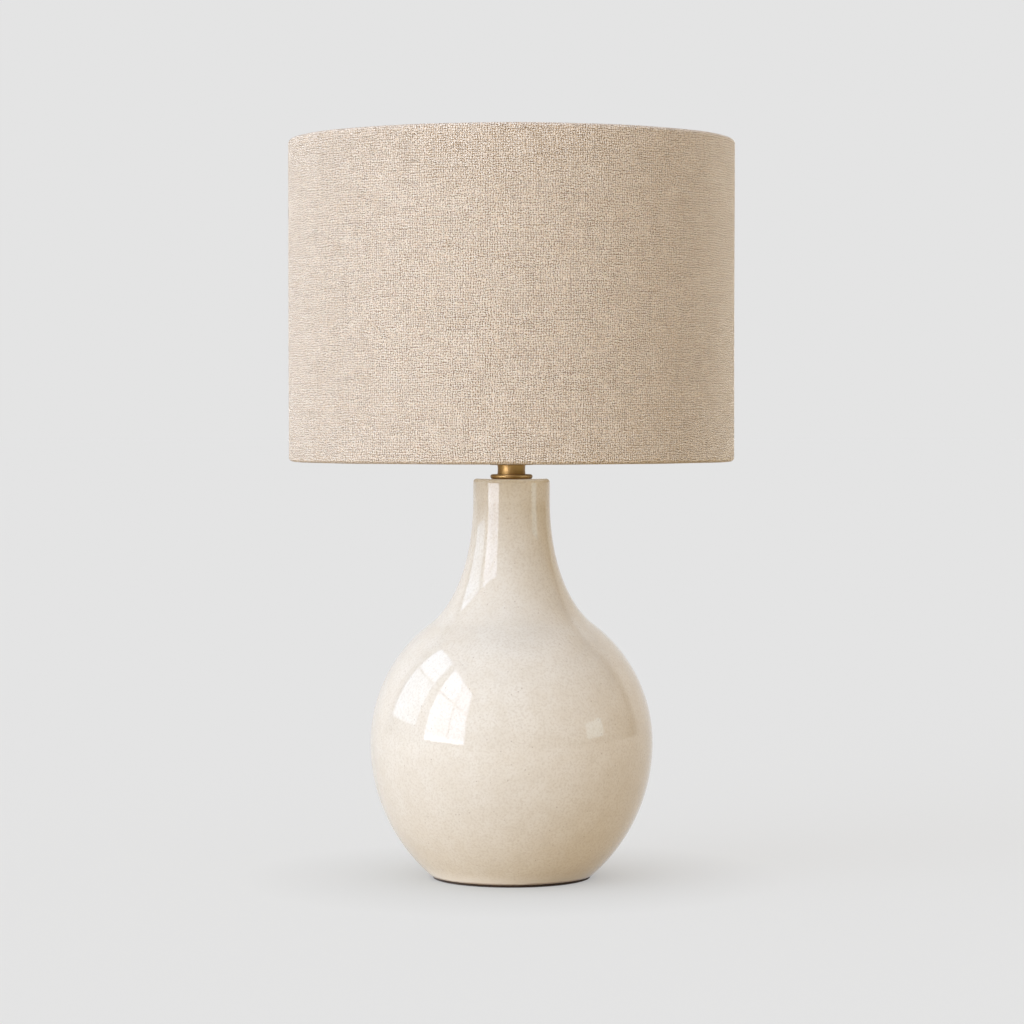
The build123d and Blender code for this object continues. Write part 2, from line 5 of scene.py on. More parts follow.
import bmesh
import bpy
import numpy as np
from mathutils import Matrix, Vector

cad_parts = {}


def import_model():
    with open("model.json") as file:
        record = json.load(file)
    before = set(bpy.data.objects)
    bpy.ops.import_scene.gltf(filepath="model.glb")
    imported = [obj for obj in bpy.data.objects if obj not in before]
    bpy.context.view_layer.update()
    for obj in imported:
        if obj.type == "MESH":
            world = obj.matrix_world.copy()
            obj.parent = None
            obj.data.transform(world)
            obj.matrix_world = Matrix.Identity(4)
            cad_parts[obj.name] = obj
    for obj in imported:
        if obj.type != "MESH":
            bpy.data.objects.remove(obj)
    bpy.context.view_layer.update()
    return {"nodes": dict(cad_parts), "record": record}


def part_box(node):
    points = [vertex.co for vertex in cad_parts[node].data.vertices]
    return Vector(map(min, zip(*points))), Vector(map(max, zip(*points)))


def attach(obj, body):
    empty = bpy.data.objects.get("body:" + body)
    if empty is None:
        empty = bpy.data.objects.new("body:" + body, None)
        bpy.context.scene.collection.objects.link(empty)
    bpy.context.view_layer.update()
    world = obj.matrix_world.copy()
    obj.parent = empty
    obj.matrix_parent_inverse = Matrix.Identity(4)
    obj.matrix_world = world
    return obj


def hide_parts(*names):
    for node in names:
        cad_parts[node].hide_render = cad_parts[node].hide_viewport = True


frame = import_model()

nodes = frame["nodes"]

# Lengths are in metres, colours and glows in linear red, green and blue.

WELD_DISTANCE = 1e-7         # points of a piece nearer to each other than this become one

# Camera, in the photograph's frame of 1024 x 1024 pixels
PHOTO_SIDE = 1024
FOCAL_PIXELS = 3330
SENSOR_MM = 36
CAMERA_PLACE = (0.0004, -2.475, 0.3465)
CAMERA_PITCH = math.radians(1.7215)

# Linen of the shade
LINEN_THICKNESS = 0.0007
HEM_RADIUS = 0.00285         # rolled hem, over its wire
HEM_LIP = 0.004              # hem turned up inside
HEM_WAVE = 0.0004            # height of the ripples in the turned-in edge
HEM_RIPPLES = 37             # how many there are round the drum
HEM_DRIFT = (9, 2)           # how often their spacing changes round the drum, and how much
SEAM_LAP = 0.012             # overlap of the linen's two ends, at the back
SEAM_RAMP = 0.005            # stretch in which the upper end climbs over the lower
LINEN_EASE = 0.00022         # how far the linen stands off its lining here and there
EASE_WAVES = ((5, 31, 0.0), (13, -17, 1.0))  # waves of that ease: number round the drum, lean, start
LIP_STEPS = 5                # points on each stretch of the linen's section
HEM_STEPS = 17
WALL_STEPS = 81
ROUND_STEPS = 361            # points round the drum
PAINTED_RIM_SHADE = (0.0086, 0.0112)  # where the painted shade on the lower rim fades, along the cloth from its edge
WARP_PITCH = 0.00176
WEFT_PITCH = 0.00168
YARN_WANDER = ((60, 0.0030), (230, 0.0022), (700, 0.0009))  # noise scale and reach of the wandering
WEFT_SLUBS = (22, 480, 1)    # noise scale along and across a weft yarn
WARP_SLUBS = (380, 20, 1)    # noise scale across and along a warp yarn
CLOTH_MAP = "cloth"          # UV map with the cloth's own coordinates

# Glaze, with heights above the foot's lower edge
FOOT_LIGHT_BAND = (0.0015, 0.0095)  # where a painted light band just above the foot fades
BARE_CLAY = (0.0004, 0.0018)   # where the unglazed line fades
GLAZE_DRIFT = 0.002            # unevenness of both
SPECKS = ((760, 0.86, 0.25), (400, 0.95, 0.40))  # two sizes: pattern's scale, share left clear, depth

# Felt under the foot
FELT_ROUND = 0.0006
FELT_FRAY = 0.00025
FRAY_WAVES = (61, 23)        # two waves round the edge, which are multiplied
FRAY_START = 0.99            # share of the rim's radius where the fraying starts
FELT_RINGS = 14
FELT_CORNER_STEPS = 5
FELT_SIDE_STEPS = 4
FELT_SEGMENTS = 240

# Screw cap of the bulb
THREAD_PITCH = 0.003629
THREAD_DEPTH = 0.0009
THREAD_STEPS = 61
CAP_WALL = 0.0006
CAP_SEGMENTS = 96

# Backdrop and room, as the camera and mirrors see them
BACKDROP = 0.775             # grey of floor and backdrop
BACKDROP_EDGE = (0.52, 0.62)  # where a mirror shows the room turn into it, as y of a unit direction
DIM_ROOM = 0.35              # share of that grey in the room
POST_PLACE = 0.46            # thin dark upright in the room, as y of a unit direction
POST_HALF = 0.012

# Light of the world
SKY_TOP = (0.83, 0.78, 0.79)
SKY_BOTTOM = (0.0, 0.0, 0.0)
KEY = (4.5, 5.1, 6.4)        # soft light from the left front
KEY_AZIMUTH = math.radians(-54)
KEY_HEIGHT = math.radians(-6)
KEY_POWER = 6                # how narrow it is
SKY_STEPS = 200              # steps in height when its light on the floor is added up

# Floor
SHADOW_SHARE = 0.30          # share of the floor's brightness that a cast shadow can take
CONTACT_SHARE = 0.35         # share of the rest that a painted contact shadow near the lamp can take
CONTACT_REACH = 0.12
CONTACT_SAMPLES = 16
FLOOR_BOUNCE = (0.70, 0.55, 0.30)
FLOOR_REACH = 40.0

# Window that the glaze mirrors: two halves in a wall at the left, each spanning a stretch of y
WINDOW_WALL = -1.5
WINDOW_TOP = 2.0
GLAZING_BAR = 0.043
NEAR_SPAN = (-1.92, -0.46)
NEAR_BOTTOM = 0.30
NEAR_COLUMNS = 2
NEAR_GLOW = ((2.8, 3.1, 3.9), (2.8, 3.1, 3.9))  # lower row, upper row
FAR_SPAN = (-0.19, 0.73)
FAR_BOTTOM = 0.36
FAR_COLUMNS = 1
FAR_GLOW = ((1.2, 1.6, 2.1), (1.7, 2.1, 2.7))
SILL = 0.18                  # bottom of a brighter strip under the near half
SILL_GLOW = (4.5, 4.9, 5.8)

# Small pane in a wall at the right
SIDE_WALL = 1.5
SIDE_SPAN = (-0.80, -0.30)
SIDE_BOTTOM = 0.23
SIDE_TOP = 0.53
SIDE_GLOW = (1.1, 1.5, 1.6)

# Fill lights: each stands at its place and faces its target
Fill = namedtuple("Fill", "place target sides glow")
BODY_FILL = Fill((-0.90, -1.93, 1.35), (0.0, 0.0, 0.2), (1.2, 1.2), (0.95, 1.5, 2.45))
TOP_FILL = Fill((0.1, -0.7, 2.0), (0.0, 0.0, 0.2), (1.0, 1.0), (2.0, 1.45, 0.55))
FOOT_FILL = Fill((-0.42, -0.20, 0.004), (0.0, 0.0, 0.004), (0.14, 0.006), (0.34, 0.35, 0.38))
BRASS_FILL = Fill((-1.02, -0.90, 0.94), (0.0, 0.0, 0.31), (1.0, 4.5), (7.4, 8.0, 12.0))
RING_LEFT_FILL = Fill((-1.05, -0.85, 0.75), (0.0, 0.0, 0.3), (1.0, 1.2), (4.0, 5.2, 8.0))
RING_RIGHT_FILL = Fill((1.2, -0.5, 0.85), (0.0, 0.0, 0.3), (1.4, 1.2), (4.0, 5.0, 8.0))
LEFT_EDGE_FILL = Fill((-0.66, 0.52, 0.42), (-0.28, 0.0, 0.42), (0.4, 0.7), (0.46, 0.48, 0.51))
RIGHT_EDGE_FILL = Fill((0.66, 0.52, 0.42), (0.28, 0.0, 0.42), (0.4, 0.7), (0.72, 0.71, 0.69))
LINEN_FILL = Fill((-0.6, -2.0, 0.8), (0.0, 0.0, 0.42), (1.2, 1.2), (1.25, 1.0, 0.84))
BACK_FILL = Fill((0.0, 2.0, 0.9), (0.0, 0.0, 0.3), (1.5, 1.0), (0.45, 0.43, 0.40))
FOOT_SPREAD = math.radians(2.5)
EDGE_SPREAD = math.radians(45)


class Graph:
    """Builds the nodes of a material or world. Each input takes a plain value or another node's socket."""

    def __init__(self, owner, shader="Principled BSDF"):
        owner.use_nodes = True
        self.owner = owner
        self.tree = owner.node_tree
        self.shader = self.tree.nodes[shader]

    def put(self, node, inputs):
        """Sets a node's inputs, which are given by name or number."""
        for socket, value in inputs.items():
            if isinstance(value, bpy.types.NodeSocket):
                self.tree.links.new(value, node.inputs[socket])
            else:
                node.inputs[socket].default_value = value

    def add(self, kind, inputs, output=0, **settings):
        """New node; returns one of its outputs."""
        node = self.tree.nodes.new(kind)
        for name, value in settings.items():
            setattr(node, name, value)
        self.put(node, inputs)
        return node.outputs[output]

    def math(self, operation, *values):
        return self.add("ShaderNodeMath", dict(enumerate(values)), operation=operation)

    def weighted(self, *terms):
        """Sum of values, each times its weight."""
        total = 0.0
        for value, weight in terms:
            total = self.math("MULTIPLY_ADD", value, weight, total)
        return total

    def seen(self):
        """1 for rays from the camera, a mirror or a pane, else 0."""
        path = self.tree.nodes.new("ShaderNodeLightPath").outputs
        mirrored = self.math("MAXIMUM", path["Is Camera Ray"], path["Is Glossy Ray"])
        return self.math("MAXIMUM", mirrored, path["Is Transmission Ray"])

    def place(self):
        """Point on the piece, in its own coordinates."""
        return self.add("ShaderNodeTexCoord", {}, output="Object")

    def cloth(self):
        """The cloth's own two coordinates: along the weft, then along the warp."""
        uv = self.add("ShaderNodeUVMap", {}, uv_map=CLOTH_MAP)
        return self.split(uv)[:2]

    def split(self, vector):
        node = self.tree.nodes.new("ShaderNodeSeparateXYZ")
        self.put(node, {0: vector})
        return list(node.outputs)

    def join(self, x, y, z):
        return self.add("ShaderNodeCombineXYZ", {0: x, 1: y, 2: z})

    def scaled(self, vector, factors):
        return self.add("ShaderNodeVectorMath", {0: vector, 1: factors}, operation="MULTIPLY")

    def noise(self, vector, scale=1.0, detail=2.0, roughness=0.5, distortion=0.0):
        return self.add("ShaderNodeTexNoise", {"Vector": vector, "Scale": scale, "Detail": detail,
                                               "Roughness": roughness, "Distortion": distortion})

    def cells(self, vector, scale, randomness=1.0):
        """Pattern of cells: the Distance to the nearest cell's middle, and that cell's random Color."""
        node = self.tree.nodes.new("ShaderNodeTexVoronoi")
        self.put(node, {"Vector": vector, "Scale": scale, "Randomness": randomness})
        return node.outputs

    def remap(self, value, low, high, to_low=0.0, to_high=1.0):
        """Smooth step from to_low, where the value is low, to to_high, where it is high."""
        return self.add("ShaderNodeMapRange", {0: value, 1: low, 2: high, 3: to_low, 4: to_high},
                        interpolation_type="SMOOTHSTEP")

    def between(self, factor, first, second):
        """Number from the first, at factor 0, to the second, at factor 1."""
        return self.add("ShaderNodeMix", {0: factor, 2: first, 3: second})

    def mix(self, factor, first, second, blend="MIX"):
        """Colour from the first, at factor 0, to the second, at factor 1, or another blend of the two."""
        first, second = (c if isinstance(c, bpy.types.NodeSocket) else (*c, 1.0) for c in (first, second))
        return self.add("ShaderNodeMix", {0: factor, 6: first, 7: second}, output=2,
                        data_type="RGBA", blend_type=blend)

    def bump(self, height, distance, strength, normal=None):
        inputs = {"Height": height, "Distance": distance, "Strength": strength}
        if normal is not None:
            inputs["Normal"] = normal
        return self.add("ShaderNodeBump", inputs)

    def finish(self, **inputs):
        """Sets the shader's inputs, whose names are written with _ for a space, and returns the owner."""
        self.put(self.shader, {name.replace("_", " "): value for name, value in inputs.items()})
        return self.owner


def new_material(name):
    return Graph(bpy.data.materials.new(name))


def glaze_material():
    """Cream gloss glaze over stoneware: soft clouds, fine iron specks and a slightly uneven skin."""
    cream = (0.885, 0.825, 0.70)
    deep_cream = (0.845, 0.775, 0.64)
    sand = (0.74, 0.66, 0.52)
    iron = (0.36, 0.25, 0.14)
    painted_foot_light = (0.98, 0.93, 0.83)
    clay = (0.42, 0.29, 0.18)
    g = new_material("cream_glaze")
    place = g.place()
    clouds = g.noise(place, scale=60, detail=4, roughness=0.6)
    grain = g.noise(place, scale=620)
    colour = g.mix(g.remap(clouds, 0.34, 0.68), cream, deep_cream)
    colour = g.mix(g.remap(grain, 0.40, 0.72, to_high=0.62), colour, sand)
    for scale, clear_share, depth in SPECKS:
        cells = g.cells(place, scale)
        chosen = g.math("GREATER_THAN", g.split(cells["Color"])[0], clear_share)
        near = g.remap(cells["Distance"], 0.10, 0.30, to_low=depth, to_high=0.0)
        colour = g.mix(g.math("MULTIPLY", chosen, near), colour, iron)
    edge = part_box("ceramic_body")[0].z
    drift = g.math("MULTIPLY_ADD", clouds, GLAZE_DRIFT, g.split(place)[2])
    height = g.math("SUBTRACT", drift, edge + GLAZE_DRIFT / 2)
    # painted light: a paler band just above the foot, where light catches the foot's edge
    colour = g.mix(g.remap(height, *FOOT_LIGHT_BAND, to_low=0.65, to_high=0.0), colour, painted_foot_light)
    colour = g.mix(g.remap(height, *BARE_CLAY, to_low=0.8, to_high=0.0), colour, clay)
    waves = g.bump(g.noise(place, scale=34, detail=1), distance=0.0004, strength=0.10)
    skin = g.bump(g.noise(place, scale=900), distance=0.00002, strength=0.10, normal=waves)
    gloss = g.remap(clouds, 0.3, 0.7, to_low=0.02, to_high=0.04)
    return g.finish(Base_Color=colour, Roughness=gloss, Normal=skin, IOR=1.52,
                    Coat_Weight=0.25, Coat_Roughness=0.02)


def linen_material():
    """Plain-woven oatmeal linen, whose uneven yarns wander, differ in tone and swell into slubs."""
    flax = (0.815, 0.66, 0.486)
    pale_flax = (1.0, 0.872, 0.70)
    dark_yarn = (0.54, 0.43, 0.315)
    pale_yarn = (0.97, 0.89, 0.76)
    weave_gap_shade = (0.235, 0.157, 0.092)
    crown_highlight = (1.0, 0.96, 0.86)
    rim_shade = (0.30, 0.21, 0.13)
    sheen = (1.0, 0.95, 0.88, 1.0)
    g = new_material("oatmeal_linen")
    along, up = g.cloth()
    flat = g.join(along, up, 0.0)
    turned = g.join(up, along, 0.5)
    for scale, reach in YARN_WANDER:
        along = g.math("MULTIPLY_ADD", g.noise(flat, scale, detail=1), reach, along)
        up = g.math("MULTIPLY_ADD", g.noise(turned, scale, detail=1), reach, up)
    warp = g.math("DIVIDE", along, WARP_PITCH)
    weft = g.math("DIVIDE", up, WEFT_PITCH)
    warp_wave = g.math("SINE", g.math("MULTIPLY", warp, math.pi))
    weft_wave = g.math("SINE", g.math("MULTIPLY", weft, math.pi))
    warp_on_top = g.remap(g.math("MULTIPLY", warp_wave, weft_wave), -0.3, 0.3)
    warp_round = g.math("ABSOLUTE", warp_wave)
    weft_round = g.math("ABSOLUTE", weft_wave)
    crown = g.between(warp_on_top, weft_round, warp_round)
    knot = g.math("MULTIPLY", warp_round, weft_round)
    lump = g.noise(flat, scale=1420, detail=0)
    height = g.weighted((crown, 0.1), (knot, 0.8), (lump, 2.1))
    crossing = g.join(g.math("FLOOR", warp), g.math("FLOOR", weft), 0.0)
    speckle = g.add("ShaderNodeTexWhiteNoise", {"Vector": crossing}, noise_dimensions="2D")
    cloud = g.noise(flat, scale=60, detail=4, roughness=0.75)
    tone = g.weighted((cloud, 0.85), (speckle, 0.15))
    colour = g.mix(g.remap(tone, 0.29, 0.71), flax, pale_flax)
    for slubs, strength in ((WEFT_SLUBS, 0.75), (WARP_SLUBS, 0.6)):
        yarn = g.noise(g.scaled(flat, slubs))
        colour = g.mix(g.remap(yarn, 0.54, 0.76, to_high=strength), colour, dark_yarn)
        colour = g.mix(g.remap(yarn, 0.46, 0.24, to_high=strength), colour, pale_yarn)
    # painted shade in the low spots of the weave's relief and painted highlights on its high spots,
    # following the same height as the bump
    colour = g.mix(g.remap(height, 0.86, 1.40, to_low=1.0, to_high=0.0), colour, weave_gap_shade)
    colour = g.mix(g.remap(height, 1.32, 1.80), colour, crown_highlight)
    from_edge = g.split(flat)[1]
    # painted shade: the linen's lower rim is darkened towards its edge
    colour = g.mix(g.remap(from_edge, *PAINTED_RIM_SHADE, to_low=0.55, to_high=0.0), colour, rim_shade)
    weave = g.bump(height, distance=0.0005, strength=0.9)
    return g.finish(Base_Color=colour, Roughness=0.88, Normal=weave, Specular_IOR_Level=0.2,
                    Sheen_Weight=0.6, Sheen_Roughness=0.3, Sheen_Tint=sheen)


def felt_material():
    """Dark brown felt of short, matted fibres."""
    dark = (0.038, 0.022, 0.011)
    light = (0.085, 0.052, 0.028)
    g = new_material("brown_felt")
    fibre = g.noise(g.place(), scale=1500, detail=4, roughness=0.7, distortion=1.5)
    colour = g.mix(g.remap(fibre, 0.35, 0.7), dark, light)
    nap = g.bump(fibre, distance=0.0005, strength=0.9)
    return g.finish(Base_Color=colour, Roughness=0.95, Normal=nap, Specular_IOR_Level=0.15,
                    Sheen_Weight=0.3, Sheen_Roughness=0.6)


def metal_material(name, dark, light, roughness, turned=0.0):
    """Metal with clouded tarnish and, where turned is set, faint marks round the lamp's axis."""
    g = new_material(name)
    place = g.place()
    cloud = g.noise(place, scale=40, detail=5, roughness=0.6)
    fine = g.noise(place, scale=1800)
    colour = g.mix(g.remap(cloud, 0.34, 0.68), dark, light)
    low, high = roughness
    shine = g.weighted((g.remap(cloud, 0.3, 0.7, to_low=high, to_high=low), 1.0), (fine, 0.08))
    height = fine
    if turned:
        x, y, z = g.split(place)
        radius = g.math("SQRT", g.math("ADD", g.math("MULTIPLY", x, x), g.math("MULTIPLY", y, y)))
        rings = g.noise(g.join(radius, z, 0.0), scale=5200)
        height = g.weighted((fine, 1.0), (rings, turned))
    skin = g.bump(height, distance=0.00003, strength=0.6)
    return g.finish(Base_Color=colour, Metallic=1.0, Roughness=shine, Normal=skin)


def plastic_material(name, dark, light, roughness, scale=260, depth=0.00004, **inputs):
    """Moulded or coated surface with a fine grain in its colour, gloss and skin."""
    g = new_material(name)
    place = g.place()
    grain = g.noise(place, scale, detail=4, roughness=0.6)
    cloud = g.noise(place, scale / 8)
    tone = g.weighted((cloud, 0.6), (grain, 0.4))
    colour = g.mix(g.remap(tone, 0.35, 0.65), dark, light)
    low, high = roughness
    shine = g.remap(grain, 0.3, 0.7, to_low=low, to_high=high)
    skin = g.bump(grain, distance=depth, strength=0.5)
    return g.finish(Base_Color=colour, Roughness=shine, Normal=skin, **inputs)


def liner_material():
    """Off-white lining sheet, with the linen's weave pressed faintly through it."""
    dark = (0.82, 0.785, 0.725)
    light = (0.85, 0.82, 0.763)
    pressed = (0.70, 0.63, 0.53)
    g = new_material("shade_lining")
    place = g.place()
    x, y, z = g.split(place)
    around = g.math("MULTIPLY", g.math("ARCTAN2", y, x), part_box("shade_liner")[1].x)
    warp = g.math("SINE", g.math("MULTIPLY", around, math.pi / WARP_PITCH))
    weft = g.math("SINE", g.math("MULTIPLY", z, math.pi / WEFT_PITCH))
    weave = g.math("ABSOLUTE", g.math("MULTIPLY", warp, weft))
    cloud = g.noise(place, scale=30, detail=3)
    colour = g.mix(g.remap(cloud, 0.3, 0.7), dark, light)
    colour = g.mix(g.math("MULTIPLY", weave, 0.16), colour, pressed)
    shine = g.remap(cloud, 0.3, 0.7, to_low=0.42, to_high=0.55)
    skin = g.bump(weave, distance=0.00005, strength=0.5)
    return g.finish(Base_Color=colour, Roughness=shine, Normal=skin)


def board_material():
    """Green circuit board with a grid of pale pads."""
    dark_green = (0.035, 0.12, 0.055)
    green = (0.06, 0.18, 0.08)
    tin = (0.62, 0.62, 0.58)
    g = new_material("circuit_board")
    place = g.place()
    cells = g.cells(place, scale=260, randomness=0.25)
    pad = g.remap(cells["Distance"], 0.16, 0.24, to_low=1.0, to_high=0.0)
    weave = g.noise(place, scale=900)
    colour = g.mix(g.remap(weave, 0.3, 0.7), dark_green, green)
    colour = g.mix(pad, colour, tin)
    shine = g.remap(pad, 0.0, 1.0, to_low=0.45, to_high=0.25)
    relief = g.bump(pad, distance=0.0001, strength=0.6)
    return g.finish(Base_Color=colour, Roughness=shine, Normal=relief)


def card_material():
    """Brown insulating card, with fibres that run up the sleeve."""
    dark = (0.42, 0.33, 0.22)
    light = (0.60, 0.50, 0.36)
    upright = (700, 700, 180)
    g = new_material("insulating_card")
    fibre = g.noise(g.scaled(g.place(), upright), detail=4, roughness=0.65)
    colour = g.mix(g.remap(fibre, 0.3, 0.7), dark, light)
    skin = g.bump(fibre, distance=0.00015, strength=0.6)
    return g.finish(Base_Color=colour, Roughness=0.85, Normal=skin)


# Finish of each material slot
materials = {
    "glaze": glaze_material(),
    "linen": linen_material(),
    "felt": felt_material(),
    "liner": liner_material(),
    "card": card_material(),
    "circuit_board": board_material(),
    "aged_brass": metal_material(
        "aged_brass", dark=(0.24, 0.13, 0.031), light=(0.36, 0.213, 0.068), roughness=(0.32, 0.40),
        turned=0.8),
    "bright_brass": metal_material(
        "bright_brass", dark=(0.62, 0.45, 0.18), light=(0.80, 0.62, 0.30), roughness=(0.16, 0.28)),
    "zinc_steel": metal_material(
        "zinc_steel", dark=(0.48, 0.48, 0.46), light=(0.66, 0.66, 0.65), roughness=(0.28, 0.42)),
    "aluminium": metal_material(
        "pressed_aluminium", dark=(0.70, 0.70, 0.70), light=(0.84, 0.84, 0.84), roughness=(0.20, 0.34)),
    "rubber": plastic_material(
        "rubber", dark=(0.018, 0.018, 0.018), light=(0.035, 0.034, 0.033), roughness=(0.70, 0.85)),
    "black_plastic": plastic_material(
        "black_plastic", dark=(0.016, 0.016, 0.017), light=(0.032, 0.032, 0.033), roughness=(0.38, 0.52)),
    "phenolic": plastic_material(
        "brown_phenolic", dark=(0.020, 0.012, 0.008), light=(0.045, 0.028, 0.018), roughness=(0.18, 0.32)),
    "bulb_body": plastic_material(
        "bulb_body", dark=(0.80, 0.80, 0.78), light=(0.86, 0.86, 0.84), roughness=(0.32, 0.45)),
    "diffuser": plastic_material(
        "bulb_diffuser", dark=(0.86, 0.855, 0.83), light=(0.91, 0.905, 0.885), roughness=(0.30, 0.40),
        scale=120, Subsurface_Weight=0.25, Subsurface_Radius=(0.006, 0.006, 0.006)),
    "painted_wire": plastic_material(
        "painted_wire", dark=(0.74, 0.72, 0.67), light=(0.83, 0.81, 0.77), roughness=(0.30, 0.45),
        scale=700, depth=0.00003),
}


def clamp(share):
    return min(1.0, max(0.0, share))


def smooth(share):
    """Eases from 0 to 1 as the share goes from 0 to 1, and stays level outside."""
    share = clamp(share)
    return share * share * (3 - 2 * share)


def mesh_object(name, mesh, material):
    """Object in the scene made from a bmesh, which is used up."""
    data = bpy.data.meshes.new(name)
    mesh.to_mesh(data)
    mesh.free()
    data.materials.append(material)
    made = bpy.data.objects.new(name, data)
    bpy.context.scene.collection.objects.link(made)
    return made


def grid_piece(name, points, body, slot, uv=None, closed=False):
    """Piece made of quads over rows of points; closed joins the last column to the first."""
    rows, columns = len(points), len(points[0])
    mesh = bmesh.new()
    grid = [[mesh.verts.new(point) for point in row] for row in points]
    layer = mesh.loops.layers.uv.new(CLOTH_MAP) if uv is not None else None
    for i in range(rows - 1):
        for j in range(columns if closed else columns - 1):
            corners = [(i, j), (i, (j + 1) % columns), (i + 1, (j + 1) % columns), (i + 1, j)]
            face = mesh.faces.new([grid[a][b] for a, b in corners])
            face.smooth = True
            if layer:
                for loop, (a, b) in zip(face.loops, corners):
                    loop[layer].uv = uv[a][b]
    bmesh.ops.remove_doubles(mesh, verts=mesh.verts, dist=WELD_DISTANCE)
    piece = mesh_object(name, mesh, materials[slot])
    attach(piece, body)
    return piece


def lathe_points(outline, segments, push):
    """Rows of points from turning (radius, height) points about Z; push(angle, row) moves a radius out."""
    rows = []
    for k, (radius, height) in enumerate(outline):
        row = []
        for step in range(segments):
            angle = 2 * math.pi * step / segments
            reach = radius + push(angle, k)
            row.append((reach * math.cos(angle), reach * math.sin(angle), height))
        rows.append(row)
    return rows


def arc(centre, radius, start, end, steps):
    """Points of an arc in (radius, height), from one angle to another, in degrees."""
    angles = np.radians(np.linspace(start, end, steps))
    return [(centre[0] + radius * math.cos(a), centre[1] + radius * math.sin(a)) for a in angles]


def linen_section(low, high):
    """Linen's middle line in (radius, height): lower lip and hem, wall, upper hem and lip."""
    roll = HEM_RADIUS - LINEN_THICKNESS / 2
    centre = high.x - HEM_RADIUS
    bottom, top = low.z + HEM_RADIUS, high.z - HEM_RADIUS
    lip = np.linspace(0, HEM_LIP, LIP_STEPS)
    section = [(centre - roll, bottom + h) for h in lip[::-1]]
    section += arc((centre, bottom), roll, 180, 360, HEM_STEPS)[1:]
    section += [(centre + roll, h) for h in np.linspace(bottom, top, WALL_STEPS)[1:]]
    section += arc((centre, top), roll, 0, 180, HEM_STEPS)[1:]
    section += [(centre - roll, top - h) for h in lip[1:]]
    return np.array(section)


def linen_offset(angle, height, ramp):
    """How far the linen stands out: its slight ease and, at the seam, its climb over the lower end."""
    ease = 0.5
    for number, lean, start in EASE_WAVES:
        ease += math.sin(number * angle + lean * height + start) / (2 * len(EASE_WAVES))
    climb = smooth((angle - 2 * math.pi + ramp) / ramp)
    return LINEN_THICKNESS * climb + LINEN_EASE * ease


def hem_wave(angle):
    """Height of the ripples in the linen's turned-in edge."""
    changes, reach = HEM_DRIFT
    return HEM_WAVE * math.sin(HEM_RIPPLES * angle + reach * math.sin(changes * angle))


def shade_linen():
    """The drum's linen: one sheet, wrapped round the lining and rolled over both wire rings."""
    low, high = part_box("shade_linen")
    section = linen_section(low, high)
    steps = np.linalg.norm(np.diff(section, axis=0), axis=1)
    run = np.concatenate([[0], np.cumsum(steps)])
    slope = np.gradient(section, run, axis=0)
    outward = np.stack([slope[:, 1], -slope[:, 0]], 1)
    outward /= np.linalg.norm(outward, axis=1)[:, None]
    lap = SEAM_LAP / high.x
    ramp = SEAM_RAMP / high.x
    points, uv = [], []
    for (radius, height), out, along in zip(section, outward, run):
        lip_share = clamp((HEM_LIP - min(along, run[-1] - along)) / HEM_LIP)
        row, uv_row = [], []
        for angle in np.linspace(0, 2 * math.pi + lap, ROUND_STEPS):
            offset = linen_offset(angle, height, ramp)
            reach = radius + offset * out[0]
            rise = height + offset * out[1] + lip_share * hem_wave(angle)
            turn = math.pi / 2 + angle
            row.append((reach * math.cos(turn), reach * math.sin(turn), rise))
            uv_row.append((angle * high.x, along))
        points.append(row)
        uv.append(uv_row)
    linen = grid_piece("drum_linen", points, "shade", "linen", uv=uv)
    thick = linen.modifiers.new("thickness", "SOLIDIFY")
    thick.thickness = LINEN_THICKNESS
    thick.offset = 0.0
    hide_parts("shade_linen")
    return linen


def felt_pad():
    """Felt disc with a soft, slightly frayed edge."""
    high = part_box("felt_pad")[1]
    radius, top = high.x, high.z
    rim = radius - FELT_ROUND
    outline = [(r, 0.0) for r in np.linspace(0, rim, FELT_RINGS)]
    outline += arc((rim, FELT_ROUND), FELT_ROUND, -90, 0, FELT_CORNER_STEPS)[1:]
    outline += [(radius, h) for h in np.linspace(FELT_ROUND, top, FELT_SIDE_STEPS)[1:]]
    outline += [(r, top) for r in np.linspace(radius, 0, FELT_RINGS + 1)[1:]]

    def fray(angle, k):
        edge = outline[k][0] > rim * FRAY_START
        first, second = FRAY_WAVES
        wave = math.sin(first * angle + k) * math.sin(second * angle + 2 * k)
        return FELT_FRAY * edge * (wave - 1) / 2

    points = lathe_points(outline, FELT_SEGMENTS, fray)
    pad = grid_piece("felt_foot", points, "base", "felt", closed=True)
    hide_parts("felt_pad")


def bulb_cap():
    """Screw cap of the bulb, with its rolled thread."""
    low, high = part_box("bulb_cap")
    crest = high.x
    inner = crest - THREAD_DEPTH - CAP_WALL
    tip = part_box("bulb_tip")[1].x
    floor_top = low.z + CAP_WALL
    below = [(tip, floor_top), (tip, low.z), (crest - 2 * THREAD_DEPTH, low.z)]
    outside = [(crest, h) for h in np.linspace(floor_top, high.z, THREAD_STEPS)]
    inside = [(crest - CAP_WALL, high.z), (inner, high.z - THREAD_PITCH)]
    inside += [(inner, floor_top), (tip, floor_top)]
    outline = below + outside + inside

    def thread(angle, k):
        if not len(below) <= k < len(below) + len(outside):
            return 0.0
        rise = outline[k][1] - low.z
        ends = min(1.0, (high.z - outline[k][1]) / THREAD_PITCH)
        start = max(0.0, 1 - rise / THREAD_PITCH)
        wave = 0.5 - 0.5 * math.cos(2 * math.pi * rise / THREAD_PITCH - angle)
        return -THREAD_DEPTH * (ends * wave * (1 - start) + start)

    points = lathe_points(outline, CAP_SEGMENTS, thread)
    cap = grid_piece("threaded_cap", points, "bulb", "aluminium", closed=True)
    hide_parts("bulb_cap")


def dress_solids():
    """Gives each solid the finish of its slot."""
    for part in frame["record"]["subparts"]:
        node = nodes[part["node"]]
        node.data.materials[0] = materials[part["material_slot"]]


